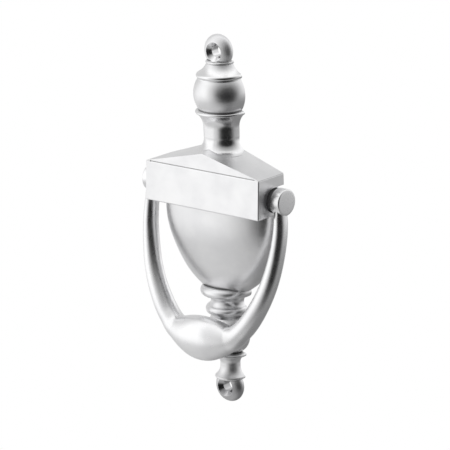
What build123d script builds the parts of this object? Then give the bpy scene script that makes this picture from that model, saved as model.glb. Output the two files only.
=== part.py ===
from build123d import *
import math
import os

# A Victorian urn door knocker in satin chrome: a hollow casting that screws to the door through
# an eye at each end, and a forked lever that swings on two pivots in the sides of its cross box.
# Millimetres. +X is to the right, +Y into the door, +Z up. The door's face is the plane Y = 0, and
# the origin lies on it, half way between the two fixing holes.
# Outlines are drawn in heights above the knocker's lowest point, then lowered to the origin.

# ---- driving dimensions ----
OVERALL_HEIGHT = 195.0
AXIS_SETBACK = 2.0          # the turned sections' axis stands this far in front of the door
EYE_OUTER_R = 8.6
EYE_HALF_DEPTH = 4.9
EYE_SETBACK = 3.0           # the eyes' middles stand this far in front of the door
EYE_HOLE_R = 2.9
EYE_SINK_R = 5.0            # the hole's countersink at the front of the eye
BOX_WIDTH = 75.4
BOX_DEPTH = 20.9
BOX_HEIGHT = 20.5
BOX_LEAN = 1.3              # the front face leans back by this much over its height
EAVE_HEIGHT = 127.5
GABLE_RISE = 8.6            # apex above the eave at the front
RIDGE_RISE = 12.4           # apex above the eave at the door
GABLE_SETBACK = 0.25
GABLE_LEAN = 0.6            # the gable's apex stands this much further back than its foot
EAVE_GROOVE = 0.55          # side of the square cut that leaves a V groove below the gable
EDGE_ROUND = 0.6
WALL = 2.8
POCKET_FLOOR = 1.4          # thinner under the pocket, to clear the pivot bushes
BOWL_HALF_WIDTH = 37.2
BOWL_HALF_DEPTH = 18.6
BULB_R = 12.7
BULB_FLATTENING = 0.8       # depth of the tail's bulb over its width
PIVOT_SETBACK = 7.6
PIVOT_HEIGHT = 115.0
BOSS_R = 6.85
BOSS_LENGTH = 6.0
BOSS_GAP = 2.2              # between the box's side and the boss
PIN_R = 3.0
PIN_PRESS_DEPTH = 4.0
RUNNING_CLEARANCE = 0.05
END_FLOAT = 0.15
BUSH_R = 6.4
BUSH_COLLAR_R = 5.7
BUSH_LENGTH = 7.0           # the part inside the slot and behind it
SLOT_CLEARANCE = 0.1
GRIP_HEIGHT = 39.5
GRIP_SETBACK = 22.8
GRIP_R = 11.6
GRIP_HALF_DEPTH = 9.2
BUFFER_R = 3.0
BUFFER_SHANK_R = 1.5
KEEPER_THICKNESS = 1.3
KEEPER_WIDTH = 11.0
SCREW_R = 1.5
SCREW_HEAD_R = 2.7
HEAD_DEPTH = 1.1
SCREW_PLAY = 0.1
PILOT_DEPTH = 9.0
POST_X = 22.0
POST_R = 3.6
BULB_HEIGHT = 38.2
BUFFER_SUNK = 0.8
BUFFER_SHANK = 4.0
STRIKE_CLEARANCE = 0.3
PIN_CHAMFER = 0.4
BUTTON_ROUND = 0.5
KEEPER_ROUND = 2.0
CROSS_SLOT_WIDTH = 0.5
CROSS_SLOT_DEPTH = 0.6

# ---- derived ----
UPPER_EYE_HEIGHT = OVERALL_HEIGHT - EYE_OUTER_R
LOWER_EYE_HEIGHT = EYE_OUTER_R
ORIGIN_HEIGHT = (UPPER_EYE_HEIGHT + LOWER_EYE_HEIGHT) / 2
HALF_BOX = BOX_WIDTH / 2
BOX_FLOOR = EAVE_HEIGHT - BOX_HEIGHT
BOSS_INNER = HALF_BOX + BOSS_GAP
BOSS_OUTER = BOSS_INNER + BOSS_LENGTH
SLOT_R = BUSH_R + SLOT_CLEARANCE
KEEPER_BACK = 0.2           # the keepers stop this far short of the door
KEEPER_FRONT = KEEPER_BACK + KEEPER_THICKNESS
ARM_X = (BOSS_INNER + BOSS_OUTER) / 2
PIN_INNER = HALF_BOX - BUSH_LENGTH - 1.0
FAR = 400.0                 # longer than anything here, for cutting right through

os.makedirs("parts", exist_ok=True)


def lower(shape):
    """Move a shape drawn above the lowest point down to the row's origin."""
    return Pos(0, 0, -ORIGIN_HEIGHT) * shape


def save(shape, node):
    shape = lower(shape)
    shape.label = node
    export_step(shape, f"parts/{node}.step")


def front_half(shape):
    """Keep what lies in front of the door."""
    return shape & Pos(0, -FAR / 2, 0) * Box(FAR, FAR, 2 * FAR)


def rod_x(radius, length):
    """A round rod lying along X, centred."""
    return Rot(0, 90, 0) * Cylinder(radius, length)


def rod_y(radius, length):
    """A round rod lying along Y, centred."""
    return Rot(90, 0, 0) * Cylinder(radius, length)


def turned(*edges):
    """Turn an outline of (radius, height) edges round the casting's axis."""
    outline = make_face(Curve() + list(edges))
    solid = revolve(Plane.XZ * outline, Axis.Z)
    return Pos(0, -AXIS_SETBACK, 0) * solid


def eye(height):
    """A flattened ball for one fixing screw, cut flat where it lies on the door."""
    ball = scale(Sphere(EYE_OUTER_R), by=(1, EYE_HALF_DEPTH / EYE_OUTER_R, 1))
    return Pos(0, -EYE_SETBACK, height) * ball


def eye_hole(height):
    """The screw's hole along Y, with a right-angled countersink at the front of the eye."""
    rim = EYE_SETBACK + EYE_HALF_DEPTH * math.sqrt(1 - (EYE_SINK_R / EYE_OUTER_R) ** 2)
    sink_foot = rim - (EYE_SINK_R - EYE_HOLE_R)
    sink = Rot(90, 0, 0) * Cone(EYE_HOLE_R, 2 * EYE_HOLE_R, EYE_HOLE_R)
    sink = Pos(0, -sink_foot - EYE_HOLE_R / 2, 0) * sink
    return Pos(0, 0, height) * (rod_y(EYE_HOLE_R, 2 * BOX_DEPTH) + sink)


def upper_finial():
    """Stem, thin collar, ball, cap and seat of the upper eye."""
    top = 181.7
    foot = 130.0
    points = {
        "skirt": (15.9, 133.2),
        "foot": (15.2, 134.5),
        "neck_low": (9.7, 142.6),
        "neck_high": (9.8, 146.9),
        "collar_low": (12.9, 154.3),
        "collar_high": (12.9, 156.1),
        "ball_low": (11.7, 156.4),
        "ball_high": (12.0, 172.3),
        "cap_low": (11.8, 172.9),
        "cap_high": (12.0, 175.2),
        "seat_low": (7.1, 180.2),
        "seat_high": (7.1, 181.5),
    }
    side = [
        Line((0, foot), (15.9, foot)),
        Line((15.9, foot), points["skirt"]),
        Line(points["skirt"], points["foot"]),
        ThreePointArc(points["foot"], (10.9, 137.4), points["neck_low"]),
        Line(points["neck_low"], points["neck_high"]),
        ThreePointArc(points["neck_high"], (10.5, 151.0), points["collar_low"]),
        ThreePointArc(points["collar_low"], (13.7, 155.2), points["collar_high"]),
        Line(points["collar_high"], points["ball_low"]),
        ThreePointArc(points["ball_low"], (14.3, 164.5), points["ball_high"]),
        Line(points["ball_high"], points["cap_low"]),
        ThreePointArc(points["cap_low"], (12.6, 174.1), points["cap_high"]),
        ThreePointArc(points["cap_high"], (9.2, 177.2), points["seat_low"]),
        ThreePointArc(points["seat_low"], (7.6, 180.9), points["seat_high"]),
        Line(points["seat_high"], (0, top)),
        Line((0, top), (0, foot)),
    ]
    return turned(*side)


def cross_box():
    """The box with its leaning front face, and the pedimented roof on it."""
    front = -BOX_DEPTH
    side = Polyline(
        (0, BOX_FLOOR),
        (front, BOX_FLOOR),
        (front + BOX_LEAN, EAVE_HEIGHT),
        (0, EAVE_HEIGHT),
        close=True,
    )
    box = extrude(Plane.YZ * make_face(side), HALF_BOX, both=True)
    gable_front = BOX_DEPTH - BOX_LEAN - GABLE_SETBACK
    gable_lean = math.degrees(math.atan(GABLE_LEAN / GABLE_RISE))
    sections = []
    for setback, lean, rise in ((gable_front, gable_lean, GABLE_RISE), (0, 0, RIDGE_RISE)):
        gable = Polyline((-HALF_BOX, 0), (HALF_BOX, 0), (0, rise), close=True)
        gable = Rot(-lean, 0, 0) * (Plane.XZ * make_face(gable))
        sections.append(Pos(0, -setback, EAVE_HEIGHT) * gable)
    roof = loft(sections, ruled=True)
    corners = box.edges().filter_by(lambda e: e.center().Y < -BOX_DEPTH / 3)
    corners = [e for e in corners if e.center().Z < EAVE_HEIGHT + 0.1]
    groove = Rot(45, 0, 0) * Box(BOX_WIDTH - 2 * WALL, EAVE_GROOVE, EAVE_GROOVE)
    return fillet(corners, EDGE_ROUND) + roof - Pos(0, -gable_front, EAVE_HEIGHT) * groove


def bowl_sections(inset=0.0):
    """Flattened sections of the half urn: half width and half depth at each height."""
    profile = [
        (BOX_FLOOR + 3.0, 1.0, 1.0),
        (97.0, 0.987, 0.982),
        (88.3, 0.927, 0.935),
        (79.0, 0.81, 0.83),
        (70.5, 0.655, 0.70),
        (64.9, 0.495, 0.57),
        (62.0, 0.385, 0.49),
    ]
    return [(height, BOWL_HALF_WIDTH * wide - inset, BOWL_HALF_DEPTH * deep - inset)
            for height, wide, deep in profile]


def bowl(inset=0.0, floor=0.0):
    """The half urn, or with an inset the hollow inside it down to a floor."""
    rings = [Pos(0, -AXIS_SETBACK, height) * Ellipse(wide, deep)
             for height, wide, deep in bowl_sections(inset) if height > floor]
    return loft(rings)


def tail():
    """Collars, neck and lower cap of the tail, without its bulb."""
    side = [
        Line((0, 63.4), (12.6, 63.4)),
        Line((12.6, 63.4), (13.3, 62.9)),
        ThreePointArc((13.3, 62.9), (14.3, 60.7), (13.0, 58.6)),
        Line((13.0, 58.6), (10.0, 57.5)),
        ThreePointArc((10.0, 57.5), (9.1, 55.1), (10.2, 52.9)),
        ThreePointArc((10.2, 52.9), (11.9, 50.6), (10.4, 48.5)),
        Line((10.4, 48.5), (8.6, 47.8)),
        Line((8.6, 47.8), (6.0, 40.0)),
        Line((6.0, 40.0), (6.6, 27.6)),
        Line((6.6, 27.6), (8.8, 27.0)),
        ThreePointArc((8.8, 27.0), (9.5, 26.2), (8.6, 25.3)),
        ThreePointArc((8.6, 25.3), (6.1, 23.6), (5.4, 20.6)),
        ThreePointArc((5.4, 20.6), (5.9, 17.2), (7.8, 14.6)),
        ThreePointArc((7.8, 14.6), (8.3, 13.8), (7.6, 13.0)),
        Line((7.6, 13.0), (0, 13.0)),
        Line((0, 13.0), (0, 63.4)),
    ]
    return turned(*side)


def tail_bulb():
    flattened = scale(Sphere(BULB_R), by=(1, BULB_FLATTENING, 1))
    return Pos(0, -AXIS_SETBACK, BULB_HEIGHT) * flattened


def hollow():
    """The pocket inside the box and bowl, with its two screw posts left standing."""
    inner_width = BOX_WIDTH - 2 * WALL
    inner_depth = BOX_DEPTH - BOX_LEAN - WALL
    inner_height = BOX_HEIGHT - WALL - POCKET_FLOOR
    middle = BOX_FLOOR + POCKET_FLOOR + inner_height / 2
    pocket = Pos(0, -inner_depth / 2 + 1, middle) * Box(inner_width, inner_depth + 2, inner_height)
    pocket = pocket + bowl(inset=WALL, floor=64.0)
    for side in (-1, 1):
        middle_y = -BOX_DEPTH / 2 - KEEPER_FRONT
        post = Pos(side * POST_X, middle_y, PIVOT_HEIGHT) * rod_y(POST_R, BOX_DEPTH)
        pocket = pocket - post
    return pocket


def slot(side):
    """The slot in a side wall, open to the rear, where a pivot bush sits."""
    middle_x = side * (HALF_BOX - WALL / 2)
    round_end = rod_x(SLOT_R, WALL + 1)
    way_in = Pos(0, PIVOT_SETBACK / 2 + 0.5, 0) * Box(WALL + 1, PIVOT_SETBACK + 1, 2 * SLOT_R)
    return Pos(middle_x, -PIVOT_SETBACK, PIVOT_HEIGHT) * (round_end + way_in)


def urn_casting():
    body = front_half(upper_finial()) + front_half(cross_box())
    body = body + front_half(bowl()) + front_half(tail()) + front_half(tail_bulb())
    for height in (UPPER_EYE_HEIGHT, LOWER_EYE_HEIGHT):
        body = body + front_half(eye(height))
    body = body - hollow()
    for side in (-1, 1):
        body = body - slot(side)
        middle_y = -KEEPER_FRONT - PILOT_DEPTH / 2
        body = body - Pos(side * POST_X, middle_y, PIVOT_HEIGHT) * rod_y(SCREW_R, PILOT_DEPTH)
    for height in (UPPER_EYE_HEIGHT, LOWER_EYE_HEIGHT):
        body = body - eye_hole(height)
    return body


# Centre line of one arm, from inside its boss to the crease where it meets the grip:
# distance from the middle, setback from the door, height, half width and half depth.
ARM_LINE = [
    (ARM_X, 8.9, 113.5, 2.8, 4.2),
    (ARM_X, 9.4, 108.0, 2.8, 4.3),
    (ARM_X + 0.2, 9.8, 104.0, 3.1, 4.4),
    (ARM_X + 0.1, 11.5, 94.0, 3.5, 4.6),
    (41.4, 13.6, 82.4, 4.0, 4.8),
    (39.1, 15.5, 72.9, 4.4, 5.0),
    (35.4, 17.4, 63.5, 4.8, 5.2),
    (30.5, 18.9, 54.8, 5.1, 5.7),
    (24.3, 20.3, 47.0, 5.4, 6.0),
    (17.3, GRIP_SETBACK - 1.4, 41.8, 6.6, 6.7),
]


def lever_section(point, before, after, half_width, half_depth):
    """An oval section square to the line between its neighbours."""
    along = (after - before).normalized()
    sideways = along.cross(Vector(0, 1, 0)).normalized()
    plane = Plane(origin=point, x_dir=sideways, z_dir=along)
    return plane * Ellipse(half_width, half_depth)


def half_lever():
    """The right-hand arm and half of the grip, with its boss. The two lofts meet in a crease."""
    line = [Vector(x, -setback, height) for x, setback, height, _, _ in ARM_LINE]
    line.append(Vector(0, -GRIP_SETBACK, GRIP_HEIGHT))
    arm = []
    for i, (_, _, _, half_width, half_depth) in enumerate(ARM_LINE):
        before = line[max(i - 1, 0)]
        arm.append(lever_section(line[i], before, line[i + 1], half_width, half_depth))
    middle = Pos(0, -GRIP_SETBACK, GRIP_HEIGHT) * (Plane.YZ * Ellipse(GRIP_HALF_DEPTH, GRIP_R))
    grip = loft([arm[-1], middle, mirror(arm[-1], Plane.YZ)])
    grip = grip & Pos(FAR / 2, 0, 0) * Box(FAR, FAR, FAR)
    boss = rod_x(BOSS_R, BOSS_LENGTH)
    boss = fillet(boss.edges(), EDGE_ROUND)
    return loft(arm) + grip + Pos(ARM_X, -PIVOT_SETBACK, PIVOT_HEIGHT) * boss


def lever_casting():
    half = half_lever()
    lever = half + mirror(half, Plane.YZ)
    for side in (-1, 1):
        middle_x = side * (BOSS_INNER + PIN_PRESS_DEPTH / 2 - 1)
        bore = rod_x(PIN_R, PIN_PRESS_DEPTH + 2)
        lever = lever - Pos(middle_x, -PIVOT_SETBACK, PIVOT_HEIGHT) * bore
    return lever - buffer_blank(0)


def buffer_blank(tip):
    """The buffer's head and shank: its seat in the grip is the same shape."""
    root = -GRIP_SETBACK + GRIP_HALF_DEPTH - BUFFER_SUNK
    head = Pos(0, (root + tip) / 2, 0) * rod_y(BUFFER_R, tip - root)
    shank = Pos(0, root - BUFFER_SHANK / 2, 0) * rod_y(BUFFER_SHANK_R, BUFFER_SHANK)
    return Pos(0, 0, GRIP_HEIGHT) * (head + shank)


def strike_buffer():
    """A nylon button at the back of the grip that meets the tail's bulb."""
    tip = -AXIS_SETBACK - BULB_R * BULB_FLATTENING - STRIKE_CLEARANCE
    button = buffer_blank(tip)
    return fillet(button.edges().sort_by(Axis.Y)[-1:], BUTTON_ROUND)


def pivot_pin(side):
    length = BOSS_INNER + PIN_PRESS_DEPTH - PIN_INNER
    pin = rod_x(PIN_R, length)
    pin = chamfer(pin.edges(), PIN_CHAMFER)
    middle_x = side * (PIN_INNER + length / 2)
    return Pos(middle_x, -PIVOT_SETBACK, PIVOT_HEIGHT) * pin


def pivot_bush(side):
    """A nylon bush: a barrel in the slot, flat behind, and a collar between box and boss."""
    barrel = Pos(side * (HALF_BOX - BUSH_LENGTH / 2), 0, 0) * rod_x(BUSH_R, BUSH_LENGTH)
    collar_length = BOSS_GAP - END_FLOAT
    collar = rod_x(BUSH_COLLAR_R, collar_length)
    collar = Pos(side * (HALF_BOX + collar_length / 2), 0, 0) * collar
    bore = rod_x(PIN_R + RUNNING_CLEARANCE, FAR)
    behind = Pos(0, PIVOT_SETBACK - KEEPER_FRONT + FAR / 2, 0) * Box(FAR, FAR, FAR)
    return Pos(0, -PIVOT_SETBACK, PIVOT_HEIGHT) * (barrel + collar - bore - behind)


def countersunk(radius, head_radius, length):
    """A screw's outline lying along Y from its head's face at Y = 0 forwards."""
    shank = Pos(0, -length / 2, 0) * rod_y(radius, length)
    cone = Cone(head_radius, radius, HEAD_DEPTH)
    return shank + Pos(0, -HEAD_DEPTH / 2, 0) * (Rot(90, 0, 0) * cone)


def bush_keeper(side):
    """A pressed plate that closes the slot behind the bush, with one countersunk hole."""
    inner_end = POST_X - POST_R
    outer_end = HALF_BOX - WALL - 0.3
    width = outer_end - inner_end
    plate = Box(width, KEEPER_THICKNESS, KEEPER_WIDTH)
    plate = fillet(plate.edges().filter_by(Axis.Y), KEEPER_ROUND)
    middle_x = side * (inner_end + width / 2)
    middle_y = -KEEPER_BACK - KEEPER_THICKNESS / 2
    hole = countersunk(SCREW_R + SCREW_PLAY, SCREW_HEAD_R + SCREW_PLAY, 2 * KEEPER_THICKNESS)
    hole = Pos(side * POST_X, -KEEPER_BACK, PIVOT_HEIGHT) * hole
    return Pos(middle_x, middle_y, PIVOT_HEIGHT) * plate - hole


def keeper_screw(side):
    """One countersunk screw, flush with its keeper, with a cross slot in its head."""
    screw = countersunk(SCREW_R, SCREW_HEAD_R, PILOT_DEPTH - 1.0 + KEEPER_THICKNESS)
    slot_wide = SCREW_HEAD_R * 1.2
    for wide, tall in ((slot_wide, CROSS_SLOT_WIDTH), (CROSS_SLOT_WIDTH, slot_wide)):
        screw = screw - Box(wide, 2 * CROSS_SLOT_DEPTH, tall)
    return Pos(side * POST_X, -KEEPER_BACK, PIVOT_HEIGHT) * screw


save(urn_casting(), "urn_casting")
save(lever_casting(), "lever_casting")
save(strike_buffer(), "strike_buffer")
for side_name, side_sign in (("left", -1), ("right", 1)):
    save(pivot_pin(side_sign), f"pivot_pin_{side_name}")
    save(pivot_bush(side_sign), f"pivot_bush_{side_name}")
    save(bush_keeper(side_sign), f"bush_keeper_{side_name}")
save(Compound([keeper_screw(-1), keeper_screw(1)]), "keeper_screws")
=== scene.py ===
import math

import bpy
from mathutils import Matrix, Vector
from mathutils.bvhtree import BVHTree


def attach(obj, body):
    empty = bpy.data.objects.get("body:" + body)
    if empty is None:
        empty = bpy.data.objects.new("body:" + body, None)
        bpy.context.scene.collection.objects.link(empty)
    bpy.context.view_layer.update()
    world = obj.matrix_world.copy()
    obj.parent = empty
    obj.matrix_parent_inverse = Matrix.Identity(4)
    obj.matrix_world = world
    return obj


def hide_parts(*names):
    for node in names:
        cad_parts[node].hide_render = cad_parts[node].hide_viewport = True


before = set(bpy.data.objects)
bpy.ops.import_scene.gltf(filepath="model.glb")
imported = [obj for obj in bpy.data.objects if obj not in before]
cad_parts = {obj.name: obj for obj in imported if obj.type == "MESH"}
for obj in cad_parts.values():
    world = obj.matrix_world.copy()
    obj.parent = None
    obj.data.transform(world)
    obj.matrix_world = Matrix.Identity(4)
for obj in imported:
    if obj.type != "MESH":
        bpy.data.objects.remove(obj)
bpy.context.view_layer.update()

# ---- camera, in degrees and metres, the lens in millimetres ----
CAMERA_AZIMUTH = 41.0
CAMERA_ELEVATION = 15.97
CAMERA_ROLL = -1.98
CAMERA_DISTANCE = 1.6052
CAMERA_AIM_RIGHT = -0.0017
CAMERA_AIM_UP = -0.0031
CAMERA_LENS = 250.7

# ---- studio ----
FLOOR_DROP = 1.0            # the floor lies this far below the knocker's origin
FLOOR_RADIUS = 8.0
FLOOR_SIDES = 96
FLOOR_PLAIN_R = 0.2         # plain paint out to here, then it brightens
FLOOR_WHITE_R = 2.0         # and is as white as the backdrop from here
FLOOR_COLOR = (0.94, 0.94, 0.94, 1)
FLOOR_ROUGHNESS = 0.9
WHITE = (1, 1, 1, 1)
ROOM_PALES = (-0.55, -0.1)  # sines of the elevations between which the room pales upwards
ROOM_BELOW = 0.68           # brightness of the room below that
ROOM_ABOVE = 1.22           # and above it
ROOM_FACING = 0.2           # cosine from which an area of the room is no longer cut off
# Soft areas of the room round the knocker: azimuth and elevation of the middle, half width and
# half height in degrees, how soft the border is (0 to 1) and how bright the area is.
ROOM_AREAS = [
    (-128, 22, 50, 42, 0.5, 0.72),
    (135, -52, 64, 40, 0.6, 0.26),
    (64, 12, 70, 58, 0.6, 0.36),
    (62, -1, 46, 37, 0.5, 0.015),
]

# ---- what the finishes share ----
CLOUD_DETAIL = 3.0          # detail of the cloudier noises
CREVICE_SHADE = (0.25, 0.8)     # how open a place is, deep in a crevice and outside it
CREVICE_SAMPLES = 8
EDGE_COSINES = (0.995, 0.93)    # of a rounded normal to the plain one, when flat and on an edge
EDGE_SAMPLES = 4

# ---- satin chrome, all lengths in metres, heights above the origin ----
# Roughness of the plate where it is polished and in the brushed zones.
CASTING_ROUGHNESS = (0.22, 0.34)
LEVER_ROUGHNESS = (0.29, 0.29)
BRUSHED_ZONES = [(-0.053, 0.038), (0.059, 0.075)]   # collars with bowl and box, and the ball
BRUSHED_BLUR = 0.002        # half width of a brushed zone's soft border
# Two pairs of heights, between which the least polished finish sets in: upwards for the upper
# eye, downwards for the tail and the underside of the grip.
TOP_EYE_BORDER = (0.079, 0.082)
TAIL_BORDER = (-0.058, -0.062)
DULL_ROUGHNESS = 0.46
EYE_CENTRE = 0.0889         # height of either hole above or below the origin
SINK_BORDER = (0.0049, 0.0054)      # radii between which a countersink's brighter cut ends
FOOT_BORDER = (-0.082, -0.090)      # heights between which the plate gets darker downwards
FOOT_SHARE = 0.75           # how much of the darker colour the foot takes
FOOT_COLOR = (0.45, 0.45, 0.46, 1)
# Tones of the plate: where its faint clouds are dark and light, the painted shade in crevices, and
# on rubbed edges.
CASTING_TONES = ((0.80, 0.80, 0.81, 1), (0.87, 0.87, 0.875, 1),
                 (0.34, 0.34, 0.34, 1), (0.95, 0.95, 0.95, 1))
LEVER_TONES = ((0.82, 0.82, 0.83, 1), (0.88, 0.88, 0.885, 1),
               (0.12, 0.12, 0.12, 1), (0.96, 0.96, 0.96, 1))
PLATE_CLOUDS = 70.0         # scale of the noise, higher is finer
PLATE_CLOUD_RANGE = (0.3, 0.7)      # values of the noise at the dark and the light tone
PLATE_GRAIN = 3200.0
PLATE_UNEVEN = 260.0
PLATE_UNEVEN_RANGE = (0.25, 0.75)
PLATE_BRUSHING = (2600.0, 2600.0, 130.0)    # long along the height
UNEVEN_ROUGHNESS = 0.025    # the roughness wanders by this much either way
BRUSHING_ROUGHNESS = 0.06
CREVICE_ROUGHNESS = 0.12
RUBBED_POLISH = 0.04        # a rubbed edge is smoother by this
RUBBED_SHARE = 0.35         # and takes this much of the edge tone
PLATE_CREVICE = 0.0018      # reach of the crevices
RUBBED_RADIUS = 0.0006      # and of the rubbed edges
BRUSHING_RELIEF = 0.8       # relief of the brushing against the grain
PLATE_BUMP = (0.06, 0.00002)        # strength and depth

# ---- the other finishes: tones and roughness are for the low and the high end of a pattern ----
PATTERN_RANGE = (0.2, 0.8)  # values of the noise at either end, for the roughness
STEEL_TONES = ((0.42, 0.42, 0.43, 1), (0.60, 0.60, 0.61, 1))
STEEL_ROUGHNESS = (0.22, 0.40)
STEEL_RINGS = (5000.0, 200.0, 200.0)
STEEL_BUMP = (0.3, 0.00002)
ZINC_TONES = ((0.58, 0.60, 0.64, 1), (0.74, 0.75, 0.76, 1))
# tone of the painted shade in the zinc's recesses
ZINC_PAINTED_SHADE = (0.16, 0.16, 0.16, 1)
ZINC_ROUGHNESS = (0.28, 0.44)
ZINC_SPANGLES = 900.0
ZINC_SPANGLE_WEIGHTS = (0.5, 0.3, 0.2)      # turn a spangle's random colour into one value
ZINC_CLOUDS = 160.0
ZINC_CREVICE = 0.003
ZINC_BUMP = (0.25, 0.00005)
NYLON_TONES = ((0.05, 0.05, 0.052, 1), (0.09, 0.09, 0.093, 1))
NYLON_ROUGHNESS = (0.38, 0.56)
NYLON_MARKS = (6000.0, 900.0, 900.0)
NYLON_CLOUDS = 400.0
NYLON_BUMP = (0.3, 0.00003)

# ---- lever, in millimetres above the knocker's lowest point, as the CAD draws it ----
MM = 0.001
ROW_ORIGIN = 97.5           # height of the row's origin above the lowest point
ARM_CENTRES = [             # distance from the middle, setback from the door, height
    (42.9, 8.9, 113.5),
    (42.9, 9.4, 108.0),
    (43.1, 9.8, 104.0),
    (43.0, 11.5, 94.0),
    (41.4, 13.6, 82.4),
    (39.1, 15.5, 72.9),
    (35.4, 17.4, 63.5),
    (30.5, 18.9, 54.8),
    (24.3, 20.3, 47.0),
    (17.3, 21.4, 41.8),
]
GRIP_CENTRE = (0.0, 22.8, 39.5)
ARM_EXPOSED = 107.0         # below this height nothing of the boss is in the way
RING_STEP = 0.8 * MM
RING_POINTS = 72
BOW_NARROWS = 0.2           # share of its width that the bow loses on its way up into a boss
CREASE = 17.3 * MM          # the crease's distance from the middle
CREASE_FADE = 4.0 * MM      # how widely the crease is smoothed on the outer side
CREASE_REACH = 11.0 * MM    # and how far from the crease the smoothing dies out
CREASE_TURN = 0.35          # the smoothing grows over this much of the cosine from the bow's inside
BUTTON_CLEAR = 3.6 * MM     # half width of the buffer's seat, bridged over
BUTTON_FACING = 0.7         # only rings' points turned this far to the rear or front are bridged
BUTTON_BOW = 0.004          # the bridge bows out by this share of the radius
BOSS_MIDDLE = 42.9
BOSS_LENGTH = 6.0
BOSS_R = 6.85
BOSS_ROUND = 0.7            # radius of the boss's softened edges
BOSS_CROWN = 0.12           # height of the outer face's crown
BOSS_CORE = 0.4             # the inner face's smallest ring
BOSS_INNER_RING = 0.6       # and its middle one, as a share of the radius
BOSS_INNER_TURNS = (30, 60, 90)
BOSS_OUTER_TURNS = (90, 72, 54, 36, 18, 0)
BOSS_CROWN_RINGS = (0.85, 0.7, 0.5, 0.3, 0.06)      # shares of the outer face's radius
PIVOT = (7.6, 115.0)        # setback and height of the pivot


def direction(azimuth, elevation):
    """A unit vector. Azimuth 0 is the front and 90 the right, elevation is upwards."""
    a = math.radians(azimuth)
    e = math.radians(elevation)
    return Vector((math.sin(a) * math.cos(e), -math.cos(a) * math.cos(e), math.sin(e)))


def camera_axes():
    """Unit vectors to the right, up and back of the camera."""
    back = direction(CAMERA_AZIMUTH, CAMERA_ELEVATION)
    a = math.radians(CAMERA_AZIMUTH)
    right = Vector((math.cos(a), math.sin(a), 0))
    up = back.cross(right)
    tilt = Matrix.Rotation(math.radians(CAMERA_ROLL), 3, back)
    return tilt @ right, tilt @ up, back


def make_camera():
    right, up, back = camera_axes()
    data = bpy.data.cameras.new("camera")
    data.lens = CAMERA_LENS
    camera = bpy.data.objects.new("camera", data)
    turn = Matrix((right, up, back)).transposed().to_4x4()
    place = right * CAMERA_AIM_RIGHT + up * CAMERA_AIM_UP + back * CAMERA_DISTANCE
    camera.matrix_world = Matrix.Translation(place) @ turn
    bpy.context.scene.collection.objects.link(camera)
    bpy.context.scene.camera = camera


class Tree:
    """Adds nodes to one node tree and links them in short calls."""

    def __init__(self, tree):
        self.tree = tree
        self.nodes = tree.nodes

    def put(self, socket, value):
        if isinstance(value, bpy.types.NodeSocket):
            self.tree.links.new(value, socket)
        else:
            socket.default_value = value

    def node(self, kind, settings=None, **inputs):
        node = self.nodes.new("ShaderNode" + kind)
        for name, value in (settings or {}).items():
            setattr(node, name, value)
        for name, value in inputs.items():
            self.put(node.inputs[name.replace("_", " ")], value)
        return node

    def math(self, operation, *values):
        node = self.nodes.new("ShaderNodeMath")
        node.operation = operation
        for socket, value in zip(node.inputs, values):
            self.put(socket, value)
        return node.outputs[0]

    def dot(self, vector, other):
        node = self.nodes.new("ShaderNodeVectorMath")
        node.operation = "DOT_PRODUCT"
        self.put(node.inputs[0], vector)
        self.put(node.inputs[1], other)
        return node.outputs["Value"]

    def ramp(self, value, low, high, to_low=0.0, to_high=1.0):
        node = self.nodes.new("ShaderNodeMapRange")
        node.interpolation_type = "SMOOTHSTEP"
        for socket, item in zip(node.inputs, (value, low, high, to_low, to_high)):
            self.put(socket, item)
        return node.outputs[0]

    def mix(self, factor, a, b):
        node = self.nodes.new("ShaderNodeMix")
        node.data_type = "FLOAT"
        for index, value in ((0, factor), (2, a), (3, b)):
            self.put(node.inputs[index], value)
        return node.outputs[0]

    def mix_color(self, factor, a, b):
        node = self.nodes.new("ShaderNodeMix")
        node.data_type = "RGBA"
        for index, value in ((0, factor), (6, a), (7, b)):
            self.put(node.inputs[index], value)
        return node.outputs[2]

    def noise(self, vector, scale, detail=2.0, rough=0.5):
        node = self.node("TexNoise", Vector=vector, Scale=scale, Detail=detail, Roughness=rough)
        return node.outputs[0]

    def stretched(self, vector, factors):
        node = self.nodes.new("ShaderNodeVectorMath")
        node.operation = "MULTIPLY"
        self.put(node.inputs[0], vector)
        self.put(node.inputs[1], factors)
        return node.outputs[0]


# ---- the studio ----
def room_area(t, toward, brightness, area):
    """Blend one soft oval area of the room into the brightness."""
    azimuth, elevation, half_width, half_height, softness, value = area
    middle = direction(azimuth, elevation)
    right = direction(azimuth + 90, 0)
    up = right.cross(middle)
    across = t.math("DIVIDE", t.dot(toward, right), math.sin(math.radians(half_width)))
    along = t.math("DIVIDE", t.dot(toward, up), math.sin(math.radians(half_height)))
    squared = t.math("ADD", t.math("MULTIPLY", across, across), t.math("MULTIPLY", along, along))
    inside = t.ramp(squared, 1.0 - softness, 1.0 + softness, 1.0, 0.0)
    facing = t.ramp(t.dot(toward, middle), 0.0, ROOM_FACING)
    return t.mix(t.math("MULTIPLY", inside, facing), brightness, value)


def studio_room():
    """A pale room of soft light with a shaded side. The camera itself sees plain white."""
    world = bpy.data.worlds.new("studio")
    world.use_nodes = True
    t = Tree(world.node_tree)
    toward = t.node("TexCoord").outputs["Generated"]
    height = t.dot(toward, (0, 0, 1))
    brightness = t.ramp(height, *ROOM_PALES, ROOM_BELOW, ROOM_ABOVE)
    for area in ROOM_AREAS:
        brightness = room_area(t, toward, brightness, area)
    seen = t.node("LightPath").outputs["Is Camera Ray"]
    brightness = t.mix(seen, brightness, 1.0)
    color = t.node("CombineColor")
    for socket in color.inputs:
        t.put(socket, brightness)
    t.put(t.nodes["Background"].inputs["Color"], color.outputs[0])
    bpy.context.scene.world = world
    bpy.context.scene.view_settings.view_transform = "Standard"


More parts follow.
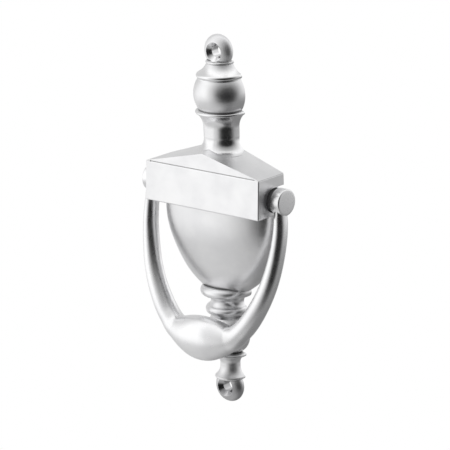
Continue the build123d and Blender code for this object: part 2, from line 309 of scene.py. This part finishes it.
def floor_material():
    """Pale paint that brightens to the white of the backdrop towards the rim."""
    material = bpy.data.materials.new("floor")
    material.use_nodes = True
    t = Tree(material.node_tree)
    place = t.node("TexCoord").outputs["Object"]
    flat = t.stretched(place, (1.0, 1.0, 0.0))
    distance = t.math("SQRT", t.dot(flat, flat))
    shader = t.nodes["Principled BSDF"]
    t.put(shader.inputs["Base Color"], FLOOR_COLOR)
    shader.inputs["Roughness"].default_value = FLOOR_ROUGHNESS
    white = t.node("Emission", Color=WHITE, Strength=1.0)
    away = t.ramp(distance, FLOOR_PLAIN_R, FLOOR_WHITE_R)
    blend = t.node("MixShader")
    for socket, value in zip(blend.inputs, (away, shader.outputs[0], white.outputs[0])):
        t.put(socket, value)
    t.put(t.nodes["Material Output"].inputs["Surface"], blend.outputs[0])
    return material


def floor():
    """A round pale floor. The metal reflects the lower part of the room instead of it."""
    mesh = bpy.data.meshes.new("floor")
    rim = [direction(360 * i / FLOOR_SIDES, 0) * FLOOR_RADIUS for i in range(FLOOR_SIDES)]
    corners = [(v.x, v.y, -FLOOR_DROP) for v in rim]
    mesh.from_pydata(corners, [], [list(range(FLOOR_SIDES))[::-1]])
    mesh.materials.append(floor_material())
    plate = bpy.data.objects.new("floor", mesh)
    plate.visible_glossy = False
    bpy.context.scene.collection.objects.link(plate)


# ---- materials ----
def new_material(name):
    material = bpy.data.materials.new(name)
    material.use_nodes = True
    t = Tree(material.node_tree)
    place = t.node("TexCoord").outputs["Object"]
    return material, t, t.nodes["Principled BSDF"], place


def crevice(t, reach):
    """0 on open surface, 1 deep in a crevice, by occlusion: the mask for painted shade."""
    shade = t.node("AmbientOcclusion", {"samples": CREVICE_SAMPLES}, Distance=reach)
    return t.ramp(shade.outputs["AO"], *CREVICE_SHADE, 1.0, 0.0)


def edge(t, radius):
    """1 on a sharp edge, 0 on flat or gently curved surface."""
    rounded = t.node("Bevel", {"samples": EDGE_SAMPLES}, Radius=radius).outputs[0]
    plain = t.node("NewGeometry").outputs["Normal"]
    return t.ramp(t.dot(rounded, plain), *EDGE_COSINES)


def relief(t, shader, height, bump):
    """Give the shader a bump of the given strength and depth in metres."""
    strength, depth = bump
    node = t.node("Bump", Height=height, Strength=strength, Distance=depth)
    t.put(shader.inputs["Normal"], node.outputs[0])


def brushed_mask(t, height):
    """1 in the brushed zones, 0 elsewhere."""
    zones = []
    for low, high in BRUSHED_ZONES:
        above = t.ramp(height, low - BRUSHED_BLUR, low + BRUSHED_BLUR)
        below = t.ramp(height, high + BRUSHED_BLUR, high - BRUSHED_BLUR)
        zones.append(t.math("MULTIPLY", above, below))
    return t.math("MAXIMUM", *zones)


def least_polished_mask(t, place, height):
    """1 on the upper eye and low down, 0 elsewhere and in the countersinks."""
    ends = t.math("MAXIMUM", t.ramp(height, *TOP_EYE_BORDER), t.ramp(height, *TAIL_BORDER))
    aside = t.dot(place, (1, 0, 0))
    above = t.math("SUBTRACT", t.math("ABSOLUTE", height), EYE_CENTRE)
    squared = t.math("ADD", t.math("MULTIPLY", aside, aside), t.math("MULTIPLY", above, above))
    outside_sink = t.ramp(t.math("SQRT", squared), *SINK_BORDER)
    return t.math("MULTIPLY", ends, outside_sink)


def plate_color(t, place, height, tones, rubbed, painted_crevice_shade):
    """Faintly cloudy, rubbed bright on the edges, with painted shade in crevices, darker at the
    foot.
    """
    dark, light, deep, bright = tones
    clouds = t.noise(place, PLATE_CLOUDS, CLOUD_DETAIL)
    foot = t.ramp(height, *FOOT_BORDER)
    color = t.mix_color(t.ramp(clouds, *PLATE_CLOUD_RANGE), dark, light)
    color = t.mix_color(t.math("MULTIPLY", rubbed, RUBBED_SHARE), color, bright)
    # painted shade: crevices take the deep tone
    color = t.mix_color(painted_crevice_shade, color, deep)
    return t.mix_color(t.math("MULTIPLY", foot, FOOT_SHARE), color, FOOT_COLOR)


def plate_roughness(t, place, height, levels, brushing, rubbed, painted_crevice_shade):
    """Polished, brushed or least polished by zone, a little uneven, smoother on rubbed edges,
    rougher in crevices.
    """
    polish, satin = levels
    rough = t.mix(brushed_mask(t, height), polish, satin)
    rough = t.mix(least_polished_mask(t, place, height), rough, DULL_ROUGHNESS)
    uneven = t.noise(place, PLATE_UNEVEN, CLOUD_DETAIL)
    uneven = t.ramp(uneven, *PLATE_UNEVEN_RANGE, -UNEVEN_ROUGHNESS, UNEVEN_ROUGHNESS)
    strokes = t.math("MULTIPLY", t.math("SUBTRACT", brushing, 0.5), BRUSHING_ROUGHNESS)
    rough = t.math("ADD", rough, uneven)
    rough = t.math("ADD", rough, strokes)
    rough = t.math("SUBTRACT", rough, t.math("MULTIPLY", rubbed, RUBBED_POLISH))
    return t.math("ADD", rough, t.math("MULTIPLY", painted_crevice_shade, CREVICE_ROUGHNESS))


def satin_chrome(name, levels, tones):
    """Satin chrome plate: fine even grain, faint cloudiness, edges rubbed bright, painted shade in
    crevices.
    """
    material, t, shader, place = new_material(name)
    height = t.dot(place, (0, 0, 1))
    grain = t.noise(place, PLATE_GRAIN)
    brushing = t.noise(t.stretched(place, PLATE_BRUSHING), 1.0)
    # occlusion mask that paints shade into the crevices and roughens them
    painted_crevice_shade = crevice(t, PLATE_CREVICE)
    rubbed = edge(t, RUBBED_RADIUS)
    t.put(shader.inputs["Base Color"], plate_color(t, place, height, tones, rubbed, painted_crevice_shade))
    shader.inputs["Metallic"].default_value = 1.0
    rough = plate_roughness(t, place, height, levels, brushing, rubbed, painted_crevice_shade)
    t.put(shader.inputs["Roughness"], rough)
    bumps = t.math("ADD", grain, t.math("MULTIPLY", brushing, BRUSHING_RELIEF))
    relief(t, shader, bumps, PLATE_BUMP)
    return material


def ground_steel():
    """Bare ground steel with fine rings round the pin."""
    material, t, shader, place = new_material("ground_steel")
    rings = t.noise(t.stretched(place, STEEL_RINGS), 1.0, CLOUD_DETAIL)
    t.put(shader.inputs["Base Color"], t.mix_color(rings, *STEEL_TONES))
    shader.inputs["Metallic"].default_value = 1.0
    t.put(shader.inputs["Roughness"], t.ramp(rings, *PATTERN_RANGE, *STEEL_ROUGHNESS))
    relief(t, shader, rings, STEEL_BUMP)
    return material


def zinc_steel():
    """Bright zinc plate on pressed steel: bluish, finely spangled, with painted shade in its
    recesses.
    """
    material, t, shader, place = new_material("zinc_steel")
    spangles = t.node("TexVoronoi", Vector=place, Scale=ZINC_SPANGLES).outputs["Color"]
    clouds = t.noise(place, ZINC_CLOUDS, CLOUD_DETAIL)
    color = t.mix_color(clouds, *ZINC_TONES)
    # painted shade: recesses take a dark tone by occlusion
    color = t.mix_color(crevice(t, ZINC_CREVICE), color, ZINC_PAINTED_SHADE)
    t.put(shader.inputs["Base Color"], color)
    shader.inputs["Metallic"].default_value = 1.0
    shade = t.dot(spangles, ZINC_SPANGLE_WEIGHTS)
    t.put(shader.inputs["Roughness"], t.ramp(shade, *PATTERN_RANGE, *ZINC_ROUGHNESS))
    relief(t, shader, clouds, ZINC_BUMP)
    return material


def black_nylon():
    """Turned black nylon with a slight sheen and fine tool marks."""
    material, t, shader, place = new_material("black_nylon")
    marks = t.noise(t.stretched(place, NYLON_MARKS), 1.0)
    color = t.mix_color(t.noise(place, NYLON_CLOUDS), *NYLON_TONES)
    t.put(shader.inputs["Base Color"], color)
    t.put(shader.inputs["Roughness"], t.ramp(marks, *PATTERN_RANGE, *NYLON_ROUGHNESS))
    relief(t, shader, marks, NYLON_BUMP)
    return material


# ---- the lever ----
def placed(distance, setback, height):
    """A point of the CAD's drawing in the frame's metres."""
    return Vector((distance, -setback, height - ROW_ORIGIN)) * MM


def smooth_path(points, step):
    """Points about a step apart on a curve through the given ones."""
    path = []
    ends = [points[0] * 2 - points[1]] + points + [points[-1] * 2 - points[-2]]
    for a, b, c, d in zip(ends, ends[1:], ends[2:], ends[3:]):
        count = max(1, round((c - b).length / step))
        for i in range(count):
            u = i / count
            path.append(0.5 * ((2 * b) + (c - a) * u + (2 * a - 5 * b + 4 * c - d) * u * u
                               + (3 * b - a - 3 * c + d) * u * u * u))
    return path + [points[-1]]


def lever_path():
    """The centre line from the right boss through the grip to the left boss."""
    right = [placed(*p) for p in ARM_CENTRES]
    left = [Vector((-p.x, p.y, p.z)) for p in reversed(right)]
    return smooth_path(right + [placed(*GRIP_CENTRE)] + left, RING_STEP)


def averaged(values, step, spread):
    """Values a step apart along the path, smoothed with a bell of the given spread."""
    reach = int(3 * spread / step)
    bell = [math.exp(-0.5 * (i * step / spread) ** 2) for i in range(-reach, reach + 1)]
    smooth = []
    for i in range(len(values)):
        total = weight = 0.0
        for k, share in enumerate(bell):
            j = min(max(i + k - reach, 0), len(values) - 1)
            total += values[j] * share
            weight += share
        smooth.append(total / weight)
    return smooth


def measured_rings(path):
    """For each exposed ring of the lever: its middle, its two axes and its measured radii."""
    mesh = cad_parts["lever_casting"].data
    surface = BVHTree.FromPolygons([v.co for v in mesh.vertices],
                                   [tuple(p.vertices) for p in mesh.polygons])
    top = (ARM_EXPOSED - ROW_ORIGIN) * MM
    rings = []
    for i, middle in enumerate(path):
        if middle.z > top:
            continue
        along = (path[min(i + 1, len(path) - 1)] - path[max(i - 1, 0)]).normalized()
        outward = along.cross(Vector((0, 1, 0))).normalized()
        rear = outward.cross(along)
        radii = []
        for k in range(RING_POINTS):
            turn = 2 * math.pi * k / RING_POINTS
            ray = outward * math.cos(turn) + rear * math.sin(turn)
            hit = surface.ray_cast(middle, ray)
            radii.append((hit[0] - middle).length)
        rings.append([middle, outward, rear, radii])
    return rings


def bridge_button_seat(rings):
    """Carry the grip's rear over the seat that the buffer sits in, and its front likewise."""
    inside = [i for i, (middle, *_) in enumerate(rings) if abs(middle.x) < BUTTON_CLEAR]
    all_radii = [radii for *_, radii in rings]
    first, last = inside[0] - 1, inside[-1] + 1
    for k in range(RING_POINTS):
        turn = 2 * math.pi * k / RING_POINTS
        if abs(math.sin(turn)) < BUTTON_FACING:
            continue
        low, high = all_radii[first][k], all_radii[last][k]
        bow = max(low, high) * BUTTON_BOW
        for i in inside:
            u = (i - first) / (last - first)
            all_radii[i][k] = low + (high - low) * u + bow * math.sin(math.pi * u)


def fade_crease(rings):
    """Keep the crease between arm and grip sharp inside the bow and smooth it away outside.

    Away from the crease the measured surface is kept as it is, so the outline stays the CAD's.
    """
    for k in range(RING_POINTS):
        cosine = math.cos(2 * math.pi * k / RING_POINTS)
        share = min(max((cosine + 1.0) / CREASE_TURN, 0.0), 1.0)
        share = share * share * (3 - 2 * share)
        row = [radii[k] for *_, radii in rings]
        smooth = averaged(row, RING_STEP, CREASE_FADE)
        for (middle, *_, radii), plain, soft in zip(rings, row, smooth):
            away = (abs(middle.x) - CREASE) / CREASE_REACH
            near = max(0.0, 1.0 - away * away)
            radii[k] = plain + (soft - plain) * share * near


def ring_points(ring):
    middle, outward, rear, radii = ring
    points = []
    for k, radius in enumerate(radii):
        turn = 2 * math.pi * k / RING_POINTS
        points.append(middle + (outward * math.cos(turn) + rear * math.sin(turn)) * radius)
    return points


def skin(name, rings):
    """A closed mesh through rings of points, capped at both ends."""
    count = len(rings[0])
    points = [p for ring in rings for p in ring]
    faces = []
    for i in range(len(rings) - 1):
        for k in range(count):
            a, b = i * count + k, i * count + (k + 1) % count
            faces.append((a, b, b + count, a + count))
    for ring, start in ((rings[0], 0), (rings[-1], (len(rings) - 1) * count)):
        middle = sum(ring, Vector()) / count
        points.append(middle)
        for k in range(count):
            pair = (start + k, start + (k + 1) % count)
            faces.append((len(points) - 1,) + (pair[::-1] if start == 0 else pair))
    mesh = bpy.data.meshes.new(name)
    mesh.from_pydata([tuple(p) for p in points], [], faces)
    mesh.validate()
    mesh.update()
    for polygon in mesh.polygons:
        polygon.use_smooth = True
    piece = bpy.data.objects.new(name, mesh)
    bpy.context.scene.collection.objects.link(piece)
    return piece


def lever_bow():
    """Both arms and the grip in one skin, running up into the bosses."""
    rings = measured_rings(lever_path())
    bridge_button_seat(rings)
    fade_crease(rings)
    loops = [ring_points(ring) for ring in rings]
    for end in (0, -1):
        foot = loops[end]
        middle = sum(foot, Vector()) / len(foot)
        steps = int(BOSS_R * MM / RING_STEP)
        for n in range(1, steps + 1):
            narrow = 1.0 - BOW_NARROWS * n / steps
            rise = Vector((0, 0, n * RING_STEP))
            loop = [middle + (p - middle) * narrow + rise for p in foot]
            loops.insert(0 if end == 0 else len(loops), loop)
    return skin("lever_bow", loops)


def boss_profile():
    """Pairs of offset from the boss's middle and radius, from the inner face to the outer."""
    half = BOSS_LENGTH / 2
    flat = BOSS_R - BOSS_ROUND
    profile = [(-half, BOSS_CORE), (-half, BOSS_R * BOSS_INNER_RING), (-half, flat)]
    for turn in BOSS_INNER_TURNS:
        a = math.radians(turn)
        profile.append((-half + BOSS_ROUND * (1 - math.cos(a)), flat + BOSS_ROUND * math.sin(a)))
    profile.append((0, BOSS_R))
    for turn in BOSS_OUTER_TURNS:
        a = math.radians(turn)
        profile.append((half - BOSS_CROWN - BOSS_ROUND * (1 - math.cos(a)),
                        flat + BOSS_ROUND * math.sin(a)))
    for share in BOSS_CROWN_RINGS:
        profile.append((half - BOSS_CROWN * share * share, flat * share))
    return profile


def lever_boss(name, side):
    """A round boss with softened edges and a slightly crowned outer face."""
    profile = boss_profile()
    setback, height = PIVOT
    loops = []
    for offset, radius in profile:
        loop = []
        for k in range(RING_POINTS):
            turn = 2 * math.pi * k / RING_POINTS
            rearward = radius * math.cos(turn) * side
            upward = radius * math.sin(turn)
            loop.append(placed(side * (BOSS_MIDDLE + offset), setback - rearward, height + upward))
        loops.append(loop)
    return skin(name, loops)


def lever(finish):
    pieces = [lever_bow(), lever_boss("lever_boss_right", 1), lever_boss("lever_boss_left", -1)]
    for piece in pieces:
        piece.data.materials.append(finish)
        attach(piece, "lever")
        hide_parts("lever_casting")


def finish_nodes(finishes):
    """Give each carried-over CAD node its material."""
    for node, material in finishes.items():
        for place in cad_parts[node].material_slots:
            place.material = material


make_camera()
studio_room()
floor()

casting = satin_chrome("satin_chrome", CASTING_ROUGHNESS, CASTING_TONES)
handled = satin_chrome("satin_chrome_lever", LEVER_ROUGHNESS, LEVER_TONES)
pins = ground_steel()
plated = zinc_steel()
nylon = black_nylon()
finish_nodes({
    "urn_casting": casting,
    "strike_buffer": nylon,
    "pivot_pin_left": pins,
    "pivot_pin_right": pins,
    "pivot_bush_left": nylon,
    "pivot_bush_right": nylon,
    "bush_keeper_left": plated,
    "bush_keeper_right": plated,
    "keeper_screws": plated,
})
lever(handled)
